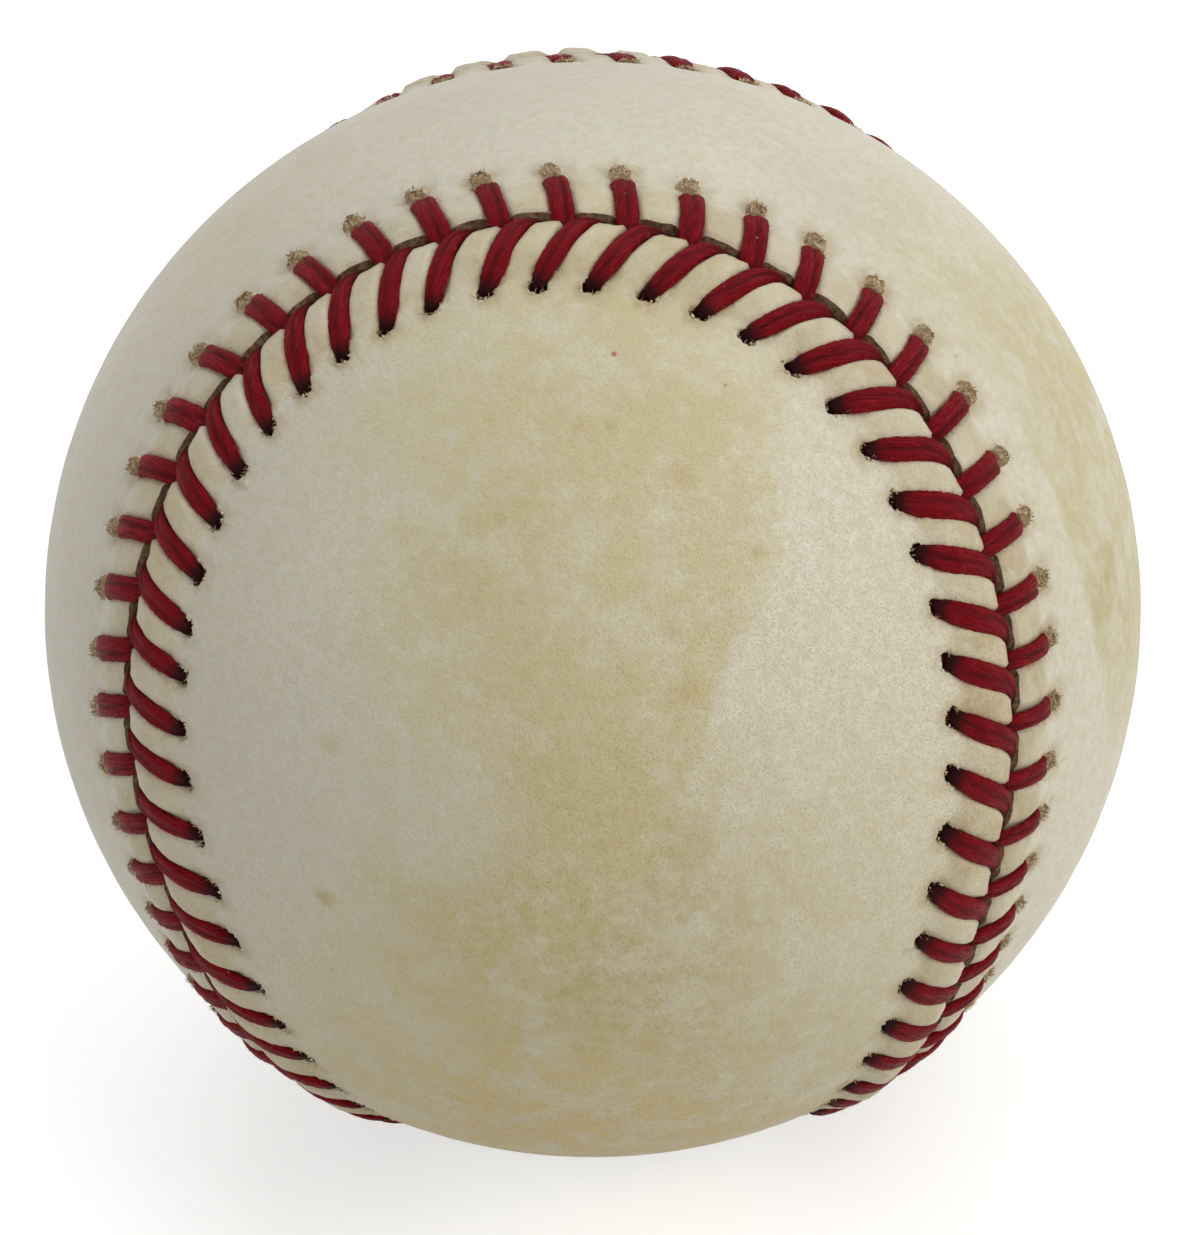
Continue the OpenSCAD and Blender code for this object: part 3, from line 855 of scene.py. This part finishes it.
def panelMesh(panel):
    made = panels[panel]
    side = sewing[panel]["side"]
    stitch = (np.arange(ball["stitches"])[:, None] + np.array(columnShares)).ravel()
    places = [0.0, *cornerRows]
    for span, steps in enumerate(made["rows"]):
        places += [span + (i + 1) / steps for i in range(steps)]
    places = np.sort(np.array(places))
    rows, columns = len(places), len(stitch)
    print(panel, "panel:", columns, "columns,", rows, "rows")
    inset, up, reach, pit = outerShape(panel, stitch[None], places)
    place = stitchPlace(panel, stitch[None] + 0 * inset, inset)
    points = [seamPoint(place, side * inset, up).reshape(-1, 3)]
    seamPlace = [np.minimum(inset, farInside).ravel()]
    fine = np.arange(rows * columns).reshape(rows, columns)
    faces = quads(fine)
    ahead = np.roll(pit, -1, 1)
    pitOfFace = (pit[:-1] + ahead[:-1] + ahead[1:] + pit[1:]).ravel() / 4
    kinds = np.where(pitOfFace > holes["rawFrom"], pitFace, outerFace)
    kinds[: int(np.searchsorted(places, cutRows)) * columns] = cutFace
    kinds = kinds.tolist()

    # Coarser rings carry on underneath from the bottom of the cut edge
    coarse = np.arange(0, columns, coarseStep)
    rings = len(coarse)
    for ringInset, ringUp in innerRows:
        place = stitchPlace(panel, stitch[coarse], np.full(rings, ringInset))
        points.append(seamPoint(place, side * ringInset, ringUp))
        seamPlace.append(np.full(rings, ringInset))
    inner = rows * columns + np.arange(len(innerRows) * rings).reshape(-1, rings)
    for i in range(rings):
        steps = [(i * coarseStep + j) % columns for j in range(coarseStep + 1)]
        faces.append(steps[::-1] + [int(inner[0][i]), int(inner[0][(i + 1) % rings])])
    faces += quads(inner, True)
    kinds += [cutFace] * (len(faces) - len(kinds))

    # Strips across the middle pair up the ring's points at equal distances from one round end's tip
    tipPlace = (0.5 if side > 0 else 1.5) * lobeLength
    near = int(np.argmin(np.abs(place - tipPlace)))
    half = rings // 2
    left, right = (near + np.arange(1, half)) % rings, (near - np.arange(1, half)) % rings
    shares = np.linspace(0, 1, stripCells + 1)[1:-1]
    outerRing = points[0].reshape(rows, columns, 3)[-1][coarse]
    for ids, ring, kind in ((fine[-1][coarse], outerRing, outerFace), (inner[-1], points[-1], cutFace)):
        middle = ring[left][:, None] * (1 - shares)[:, None] + ring[right][:, None] * shares[:, None]
        middle = unit(middle) * np.linalg.norm(ring[0])
        strip = np.empty((half - 1, stripCells + 1), int)
        strip[:, 0], strip[:, -1] = ids[left], ids[right]
        new = sum(len(part) for part in points) + np.arange(middle.size // 3)
        strip[:, 1:-1] = new.reshape(half - 1, -1)
        points.append(middle.reshape(-1, 3))
        seamPlace.append(np.full(len(new), farInside))
        cells = np.stack([strip[:-1, :-1], strip[1:, :-1], strip[1:, 1:], strip[:-1, 1:]], -1)
        cells = cells.reshape(-1, 4).tolist()
        first, last = int(ids[near]), int(ids[(near + half) % rings])
        cells += [[first, int(a), int(b)] for a, b in zip(strip[0, :-1], strip[0, 1:])]
        cells += [[last, int(b), int(a)] for a, b in zip(strip[-1, :-1], strip[-1, 1:])]
        faces += cells if kind == outerFace else [cell[::-1] for cell in cells]
        kinds += [kind] * len(cells)
    points, seamPlace = np.concatenate(points), np.concatenate(seamPlace)
    holeNear = np.zeros(len(points))
    holeNear[: reach.size] = smooth(*holes["near"], reach).ravel()
    return points, faces, kinds, seamPlace, holeNear


for panel in panels:
    points, faces, kinds, seamPlace, holeNear = panelMesh(panel)
    piece = makeMesh(panel + "PanelLeather", points, faces, panels[panel]["materials"], kinds)
    giveAttribute(piece, "seamPlace", seamPlace)
    giveAttribute(piece, "holeNear", holeNear)
    dress(piece, panel + "_panel")


# The legs of thread

# The path of a leg, from deep in its hole to the seam: inset from the seam, up from the ball, and how
# far on along the seam past its lean. Width and thickness are shares of the half sizes at these
# points. The end that darkens into the hole, with painted shadow and some soot, is given as the shares of
# the leg where it is clean and where it is black, and how black.
threads = {
    "upper": {
        "path": ((4.2, -0.8, 0), (4.2, -0.3, 0), (4.0, 0.1, 0), (3.3, 0.34, 0), (2.3, 0.42, 0),
                 (1.3, 0.36, 0), (0.6, 0.2, 0), (0.1, -0.02, 0.05), (-0.25, -0.35, 0.15)),
        "width": (0.95, 1.02, 1.04, 1, 0.98, 1, 0.95, 0.8, 0.6),
        "thick": (0.9, 1, 1, 1, 1, 1, 1, 0.9, 0.8),
        "halfWidth": 0.75, "halfThick": 0.38, "grooveSwing": 0.4, "farPress": 0.3, "seed": 31,
        "shadowAndSootEnds": (0.16, 0.08, 0.5),
    },
    "lower": {
        "path": ((4.45, -0.9, 0), (4.25, -0.35, 0), (3.85, 0.06, 0), (3.05, 0.38, 0), (2.2, 0.54, 0),
                 (1.3, 0.56, 0), (0.5, 0.46, 0.05), (-0.05, 0.3, 0.3), (-0.3, 0.08, 0.9),
                 (-0.36, -0.4, 1.9)),
        "width": (0.5, 0.66, 0.84, 1, 1.05, 1.02, 0.92, 0.72, 0.52, 0.36),
        "thick": (0.8, 0.9, 1, 1, 1, 1, 1, 0.95, 0.8, 0.6),
        "halfWidth": 0.8, "halfThick": 0.4, "grooveSwing": 0.22, "farPress": 0, "seed": 32,
        "shadowAndSootEnds": (0.31, 0.17, 0.92),
    },
}
# Jitters, sway, lumps and the groove are in mm or in shares of the leg's half sizes.
legs = {
    "rings": 40,
    "sides": 22,
    "insetJitter": 0.08,
    "upJitter": 0.04,
    "sway": 0.06,
    "swayTurn": 0.7,
    "sizes": (0.93, 1.07),
    "flatness": (0.85, 0.9),
    "grooveTurns": (1.5, 3.5),
    "grooveWidth": 0.2,
    "grooveDepth": 0.42,
    # How dark the painted shade in the groove between the plies is
    "grooveShade": 0.6,
    "lumps": 0.055,
    "twist": (0.8, 0.12),
    # Painted shade where the leg dives into the seam gap: where along the leg it starts and is full, and
    # how dark
    "seamEnd": (0.74, 0.92),
    "seamShade": 0.8,
}


# The middle line of every leg with its forward, sideways and upward directions and its half sizes,
# and the random numbers to go on with
def legFrames(panel):
    thread = threads[panel]
    count = ball["stitches"]
    rng = np.random.default_rng(thread["seed"])

    def jitter(size):
        return rng.uniform(-size, size, (count, 1))

    places = np.linspace(0, len(thread["path"]) - 1, legs["rings"])
    path = through(thread["path"], places)
    width = through(np.array(thread["width"])[:, None], places)[:, 0] * thread["halfWidth"]
    thick = through(np.array(thread["thick"])[:, None], places)[:, 0] * thread["halfThick"]
    stitch = np.arange(count)[:, None] + np.zeros(legs["rings"])
    inset = path[None, :, 0] + jitter(legs["insetJitter"])
    sway = jitter(legs["sway"]) * np.sin(places * legs["swayTurn"])[None, :]
    along = stitchPlace(panel, stitch, inset) + path[None, :, 2] + sway
    flat = thread["farPress"] * farShare(stitch)
    up = path[None, :, 1] * (1 - flat) + jitter(legs["upJitter"])
    line = seamPoint(along, sewing[panel]["side"] * inset, up)
    forward = unit(np.gradient(line, axis=1))
    aside = unit(np.cross(forward, unit(line)))
    over = np.cross(aside, forward)
    size = rng.uniform(*legs["sizes"], (count, 1)) * sewn(panel, "widths", stitch)
    return (line, forward, aside, over, width[None] * size, thick[None] * size * (1 - flat)), rng


def legMesh(panel):
    (line, _, aside, over, width, thick), rng = legFrames(panel)
    thread = threads[panel]
    count, rings, sides = ball["stitches"], legs["rings"], legs["sides"]
    turn = np.linspace(0, 2 * math.pi, sides, endpoint=False) - math.pi / 2
    share = np.linspace(0, 1, rings)
    # The groove between the two plies wanders across the leg as they twist
    start = rng.uniform(0, 2 * math.pi, (count, 1))
    wander = start + share[None] * rng.uniform(*legs["grooveTurns"], (count, 1))
    groove = (thread["grooveSwing"] * np.sin(wander))[..., None]
    x, y = (np.sign(v) * np.abs(v) ** power
            for v, power in zip((np.cos(turn), np.sin(turn)), legs["flatness"]))
    dip = np.exp(-(((x - groove) / legs["grooveWidth"]) ** 2))
    y = y * (1 - legs["grooveDepth"] * dip)
    lumps = 1 + legs["lumps"] * rng.uniform(-1, 1, (count, rings, sides))
    points = (line[:, :, None] + aside[:, :, None] * (x * width[..., None] * lumps)[..., None]
              + over[:, :, None] * (y * thick[..., None] * lumps)[..., None]).reshape(-1, 3)
    ids = np.arange(len(points)).reshape(count, rings, sides)
    faces = quads(ids, True) + ids[:, 0].tolist() + ids[:, -1][:, ::-1].tolist()
    length = np.cumsum(np.linalg.norm(np.diff(line, axis=1, prepend=line[:, :1]), axis=-1), 1)[..., None]
    swing, twist = legs["twist"]
    place = np.zeros((count, rings, sides, 3))
    place[..., 0] = length
    place[..., 1] = np.abs(turn) + groove * swing + twist * length
    place[..., 2] = np.arange(count)[:, None, None] * pitch
    # Painted shadow with some soot where the leg goes into its hole, and painted shade at the seam end and
    # in the groove
    clean, black, strength = thread["shadowAndSootEnds"]
    ends = np.maximum(
        strength * smooth(clean, black, share), legs["seamShade"] * smooth(*legs["seamEnd"], share))
    dark = np.maximum(legs["grooveShade"] * dip * (y > 0), ends[None, :, None])
    return points, faces, place.reshape(-1, 3), dark.ravel()


for panel in threads:
    points, faces, place, dark = legMesh(panel)
    piece = makeMesh(panel + "ThreadLegs", points, faces, [threadRed])
    giveAttribute(piece, "threadPlace", place)
    giveAttribute(piece, "threadShadeAndSoot", dark)
    dress(piece, panel + "_stitches")


# Loose fibres: fuzz on the thread, and torn leather in and round the holes

# A hair's joints, as shares of its length, its thickness there, how far it bends and its sides
hair = {"joints": (0, 0.35, 0.7, 1), "taper": (1, 0.9, 0.65, 0.2), "bend": 0.5, "sides": 3}
hairCorners = len(hair["joints"]) * hair["sides"]


# Tapering hairs, each bent one way along its length
def hairMesh(roots, ways, bends, lengths, thickness):
    joints = np.array(hair["joints"])
    ways, side = unit(ways), unit(np.cross(ways, bends))
    third = unit(np.cross(side, ways))
    middle = roots[:, None] + ways[:, None] * (joints * lengths[:, None])[..., None]
    middle = middle + third[:, None] * (joints**2 * lengths[:, None] * hair["bend"])[..., None]
    turn = (np.arange(hair["sides"]) * 2 * math.pi / hair["sides"])[:, None]
    ring = side[:, None, None] * np.cos(turn) + third[:, None, None] * np.sin(turn)
    taper = np.array(hair["taper"]) * thickness
    points = middle[:, :, None] + ring * taper[None, :, None, None]
    ids = np.arange(len(roots) * hairCorners).reshape(len(roots), -1, hair["sides"])
    faces = quads(ids) + ids[:, 0][:, ::-1].tolist() + ids[:, -1].tolist()
    return points.reshape(-1, 3), faces


crumb = {
    "corners": ((1, 0, 0), (-1, 0, 0), (0, 1, 0), (0, -1, 0), (0, 0, 1), (0, 0, -1)),
    "faces": ((0, 2, 4), (2, 1, 4), (1, 3, 4), (3, 0, 4), (2, 0, 5), (1, 2, 5), (3, 1, 5), (0, 3, 5)),
    "reaches": (0.5, 1.4),
    "uneven": 0.2,
}


# Small uneven lumps
def crumbMesh(middles, sizes, rng):
    corners = np.array(crumb["corners"], float)
    shapes = corners * rng.uniform(*crumb["reaches"], (len(middles), len(corners), 1))
    shapes = shapes + rng.normal(0, crumb["uneven"], shapes.shape)
    points = middles[:, None] + shapes * sizes[:, None, None]
    faces = np.arange(len(middles))[:, None, None] * len(corners) + np.array(crumb["faces"])
    return points.reshape(-1, 3), faces.reshape(-1, 3).tolist()


# Hairs stand at both sides of a leg, on the rings from one to another.
fuzz = {
    "perLeg": 52,
    "rings": (5, 31),
    "sideTurn": 0.25,
    "turnSpread": 0.4,
    "sunk": 0.95,
    "lean": 0.6,
    "lift": 0.25,
    "length": (0.14, 0.55),
    "shorter": (0.5, 1),
    "thickness": 0.011,
    "shade": (0, 0.8),
    "seed": 41,
}
for panel in threads:
    (line, forward, aside, over, width, thick), _ = legFrames(panel)
    rng = np.random.default_rng(fuzz["seed"] + sewing[panel]["side"])
    number = fuzz["perLeg"] * ball["stitches"]
    leg = rng.integers(0, ball["stitches"], number)
    at = rng.integers(*fuzz["rings"], number)
    turn = np.where(rng.uniform(size=number) < 0.5, fuzz["sideTurn"], math.pi - fuzz["sideTurn"])
    turn = (turn + rng.normal(0, fuzz["turnSpread"], number))[:, None]
    outward = (aside[leg, at] * np.cos(turn) * width[leg, at][:, None]
               + over[leg, at] * np.sin(turn) * thick[leg, at][:, None])
    roots = line[leg, at] + outward * fuzz["sunk"]
    ways = unit(outward) + forward[leg, at] * rng.normal(0, fuzz["lean"], (number, 1))
    ways = ways + over[leg, at] * fuzz["lift"]
    lengths = rng.uniform(*fuzz["length"], number) * rng.uniform(*fuzz["shorter"], number)
    points, faces = hairMesh(roots, ways, rng.normal(size=(number, 3)), lengths, fuzz["thickness"])
    piece = makeMesh(panel + "ThreadFuzz", points, faces, [fuzzRed])
    giveAttribute(piece, "fibreShade", np.repeat(rng.uniform(*fuzz["shade"], number), hairCorners))
    dress(piece, panel + "_stitches")

# Numbers are for each hole. Shares are reaches from its middle, shades run from dark to pale, and on a
# tuft heights are shares of the tuft's height.
fray = {
    "upper": {"rim": 26, "rimShare": (0.92, 1.12),
              "floor": 56, "floorUp": (0.4, 0.9), "floorShade": (0.2, 1.1),
              "crumbs": 5, "crumbShare": (0.2, 0.9), "crumbUp": (0.5, 1), "onTuft": True},
    "lower": {"rim": 20, "rimShare": (1.02, 1.25),
              "floor": 3, "floorUp": (-0.5, -0.3), "floorShade": (0, 0.3),
              "crumbs": 6, "crumbShare": (1.12, 1.45), "crumbUp": (-0.04, 0.06), "onTuft": False},
    "turns": (-0.35 * math.pi, 1.35 * math.pi),
    "rimUp": (-0.16, 0),
    "rimInward": (-0.6, 0.6),
    "rimRise": (0.1, 0.9),
    "rimSpread": 0.45,
    "rimLength": (0.08, 0.32),
    "rimShade": (0.35, 0.9),
    "rimBrown": 0.25,
    "floorFill": 0.75,
    "floorSpread": 0.5,
    "floorLength": (0.12, 0.3),
    "floorBrown": 0.45,
    "thickness": 0.032,
    "crumbSize": (0.05, 0.12),
    "crumbShade": (0.45, 0.85),
    "seed": 51,
}


# Roots of loose bits round the holes, the way from each to its hole's middle, and how far behind
# that it lies
def frayPlaces(panel, share, heights, rng, onTuft=False):
    hole, side = panels[panel]["hole"], sewing[panel]["side"]
    number = len(share)
    stitch = rng.integers(0, ball["stitches"], number).astype(float)
    turn = rng.uniform(*fray["turns"], number)
    inset = hole["inset"] + hole["across"] * share * np.sin(turn)
    along = stitchPlace(panel, stitch, inset) + hole["along"] * share * np.cos(turn)
    middle = stitchPlace(panel, stitch, np.full(number, hole["inset"]))
    up = rng.uniform(*heights, number) * (tuftHeight(panel, stitch) if onTuft else 1)
    roots = seamPoint(along, side * inset, up)
    return roots, unit(seamPoint(middle, side * hole["inset"], 0.0) - roots), np.sin(turn) * share


for panel in panels:
    made = fray[panel]
    rng = np.random.default_rng(fray["seed"] + sewing[panel]["side"])
    rims, floors, crumbs = (made[kind] * ball["stitches"] for kind in ("rim", "floor", "crumbs"))
    rimRoots, inward, rimOut = frayPlaces(panel, rng.uniform(*made["rimShare"], rims), fray["rimUp"], rng)
    rimWays = inward * rng.uniform(*fray["rimInward"], (rims, 1))
    rimWays = rimWays + unit(rimRoots) * rng.uniform(*fray["rimRise"], (rims, 1))
    floorShare = np.sqrt(rng.uniform(0, fray["floorFill"], floors))
    floorRoots, _, floorOut = frayPlaces(panel, floorShare, made["floorUp"], rng, made["onTuft"])
    floorWays = unit(floorRoots) + rng.normal(0, fray["floorSpread"], (floors, 3))
    rimWays = rimWays + rng.normal(0, fray["rimSpread"], (rims, 3))
    roots, ways = np.concatenate([rimRoots, floorRoots]), np.concatenate([rimWays, floorWays])
    lengths = np.concatenate([
        rng.uniform(*fray["rimLength"], rims),
        rng.uniform(*fray["floorLength"], floors)])
    points, faces = hairMesh(roots, ways, rng.normal(size=roots.shape), lengths, fray["thickness"])
    # Paler beside the leg and browner at the back
    shades = np.concatenate([
        rng.uniform(*fray["rimShade"], rims) - fray["rimBrown"] * np.clip(rimOut, 0, 1),
        rng.uniform(*made["floorShade"], floors) - fray["floorBrown"] * floorOut])
    crumbShare = rng.uniform(*made["crumbShare"], crumbs)
    crumbRoots, _, _ = frayPlaces(panel, crumbShare, made["crumbUp"], rng, made["onTuft"])
    crumbPoints, crumbFaces = crumbMesh(crumbRoots, rng.uniform(*fray["crumbSize"], crumbs), rng)
    faces += (np.array(crumbFaces) + len(points)).tolist()
    points = np.concatenate([points, crumbPoints])
    piece = makeMesh(panel + "HoleFibres", points, faces, [fibreTan])
    crumbShades = np.repeat(rng.uniform(*fray["crumbShade"], crumbs), len(crumb["corners"]))
    giveAttribute(piece, "fibreShade", np.concatenate([np.repeat(shades, hairCorners), crumbShades]))
    dress(piece, panel + "_panel")


# The pieces inside, which keep their solids

# Each finish: its pattern, its dark and light colours, its scale and its roughness
insideLook = {
    "corkGrain": ("granules", (0.16, 0.08, 0.03, 1), (0.62, 0.42, 0.24, 1), 900, 0.85, ("cork_core",)),
    "blackRubber": ("speckle", (0.012, 0.012, 0.013, 1), (0.035, 0.035, 0.038, 1), 1500, 0.6,
                    ("black_rubber_lower", "black_rubber_upper")),
    "redRubber": ("speckle", (0.34, 0.05, 0.035, 1), (0.52, 0.09, 0.06, 1), 1500, 0.6,
                  ("red_rubber_lower", "red_rubber_upper")),
    "gasketRubber": ("speckle", (0.30, 0.05, 0.035, 1), (0.48, 0.09, 0.06, 1), 2200, 0.55,
                     ("rubber_gasket",)),
    "greyWool": ("wound", (0.16, 0.16, 0.17, 1), (0.45, 0.45, 0.46, 1), 380, 0.95, ("first_grey_wool",)),
    "whiteWool": ("wound", (0.55, 0.53, 0.47, 1), (0.86, 0.84, 0.78, 1), 380, 0.95, ("white_wool",)),
    "fineGreyWool": ("wound", (0.18, 0.18, 0.19, 1), (0.5, 0.5, 0.51, 1), 520, 0.95,
                     ("second_grey_wool",)),
    "finishingYarn": ("wound", (0.58, 0.56, 0.50, 1), (0.88, 0.86, 0.81, 1), 620, 0.9,
                      ("finishing_yarn",)),
}


def insideMaterial(name, pattern, dark, light, scale, rough):
    material, tree, shader, position = newMaterial(name, {"Roughness": rough, "Specular IOR Level": 0.25})
    if pattern == "granules":
        cells = put(tree, "ShaderNodeTexVoronoi", {"Vector": position, "Scale": scale})
        factor = put(tree, "ShaderNodeSeparateColor", {0: cells.outputs["Color"]}).outputs[0]
        height = cells.outputs["Distance"]
    elif pattern == "wound":
        factor = height = use(tree, woundYarn, {"Position": position, "Scale": scale})["Strand"]
    else:
        factor = height = noise(tree, position, scale, detail=6)
    setInputs(tree, shader, {"Base Color": mixed(tree, factor, dark, light)})
    addBump(tree, shader, height, strength=0.6, distance=0.0003)
    return material


# Gives a material to a node's solid
def paintNode(name, material):
    for slot in nodes[name].material_slots:
        slot.material = material
    if not nodes[name].material_slots:
        nodes[name].data.materials.append(material)


for name, (*look, names) in insideLook.items():
    material = insideMaterial(name, *look)
    for node in names:
        paintNode(node, material)
for panel, leather in (("upper", upperLeather), ("lower", lowerLeather)):
    paintNode(panel + "_panel", leather)
    paintNode(panel + "_stitches", threadRed)
print("dressed the pieces inside")


# Floor, light and camera

# Places, sizes and distances are in metres.
studio = {
    "floorHalf": 3.0,
    "floorShade": (0.62, 0.62, 0.6, 1),
    "floorSeen": (0.9, 0.9, 0.9, 1),
    "floorLift": 0.55,
    "floorFades": (0.15, 0.7),  # how far from the ball the floor grows white
    "world": 0.12,
    "lampSize": 0.8,
    "lamps": (
        {"name": "rightLamp", "from": (0.85, -0.45, 0.25), "energy": 4.5, "colour": (1, 0.99, 0.97)},
        {"name": "keyLamp", "from": (0.5, -0.3, 0.75), "energy": 1.7, "colour": (1, 0.99, 0.97)},
        {"name": "fillLamp", "from": (-0.7, -0.6, 0.4), "energy": 2.75, "colour": (0.97, 0.98, 1)},
        {"name": "topLamp", "from": (0.0, 0.35, 0.8), "energy": 2.85, "colour": (1, 1, 1)},
    ),
}


# Ends a tree with one shader where it is seen, in reflections and through glass too, and another
# where it only throws light
def endSeen(tree, output, lighting, seen):
    path = put(tree, "ShaderNodeLightPath").outputs
    rays = maths(tree, "MAXIMUM", path["Is Camera Ray"], path["Is Glossy Ray"])
    rays = maths(tree, "MAXIMUM", rays, path["Is Transmission Ray"])
    mix = put(tree, "ShaderNodeMixShader", {0: rays, 1: lighting.outputs[0], 2: seen.outputs[0]})
    put(tree, output, {"Surface": mix.outputs[0]})


# Near white where it is seen, with the ball's shadow kept, and grey where it only throws light back
def stageMaterial():
    material = bpy.data.materials.new("studioWhite")
    tree = emptyTree(material)
    plain = put(tree, "ShaderNodeBsdfDiffuse", {"Color": studio["floorShade"]})
    pale = put(tree, "ShaderNodeBsdfDiffuse", {"Color": studio["floorSeen"]})
    far = vectorMaths(tree, "LENGTH", put(tree, "ShaderNodeNewGeometry").outputs["Position"])
    strength = ranged(tree, far, *studio["floorFades"], studio["floorLift"], 1)
    lift = put(tree, "ShaderNodeEmission", {"Color": (1, 1, 1, 1), "Strength": strength})
    both = put(tree, "ShaderNodeAddShader", {0: pale.outputs[0], 1: lift.outputs[0]})
    endSeen(tree, "ShaderNodeOutputMaterial", plain, both)
    return material


half = studio["floorHalf"]
floorMesh = bpy.data.meshes.new("floor")
corners = [(x * half, y * half, -radius * mm) for x, y in ((-1, -1), (1, -1), (1, 1), (-1, 1))]
floorMesh.from_pydata(corners, [], [(0, 1, 2, 3)])
floorMesh.materials.append(stageMaterial())
floor = addObject("floor", floorMesh)

world = bpy.data.worlds.new("studioWorld")
bpy.context.scene.world = world
tree = emptyTree(world)
ambient, white = (
    put(tree, "ShaderNodeBackground", {"Color": (1, 1, 1, 1), "Strength": strength})
    for strength in (studio["world"], 1.0))
endSeen(tree, "ShaderNodeOutputWorld", ambient, white)

for lamp in studio["lamps"]:
    data = bpy.data.lights.new(lamp["name"], "AREA")
    data.shape = "DISK"
    data.size = studio["lampSize"]
    data.energy = lamp["energy"]
    data.color = lamp["colour"]
    place = np.array(lamp["from"])
    back = unit(place)
    across = unit(np.cross((0, 0, 1), back))
    standAt(addObject(lamp["name"], data), place, across, np.cross(back, across), back)

cameraData = bpy.data.cameras.new("camera")
cameraData.sensor_fit = "HORIZONTAL"
cameraData.sensor_width = view["sensor"]
wide, high = view["photoSize"]
cameraData.lens = view["focalPixels"] / wide * view["sensor"]
cameraData.shift_x = (wide / 2 - view["middlePixel"][0]) / wide
cameraData.shift_y = (view["middlePixel"][1] - high / 2) / wide
cameraData.clip_start = 0.01
camera = addObject("camera", cameraData)
standAt(camera, viewBack * view["distance"] * mm, viewRight, viewUp, viewBack)
bpy.context.scene.camera = camera
bpy.context.scene.view_settings.view_transform = "Standard"
print("set the floor, the lamps and the camera")
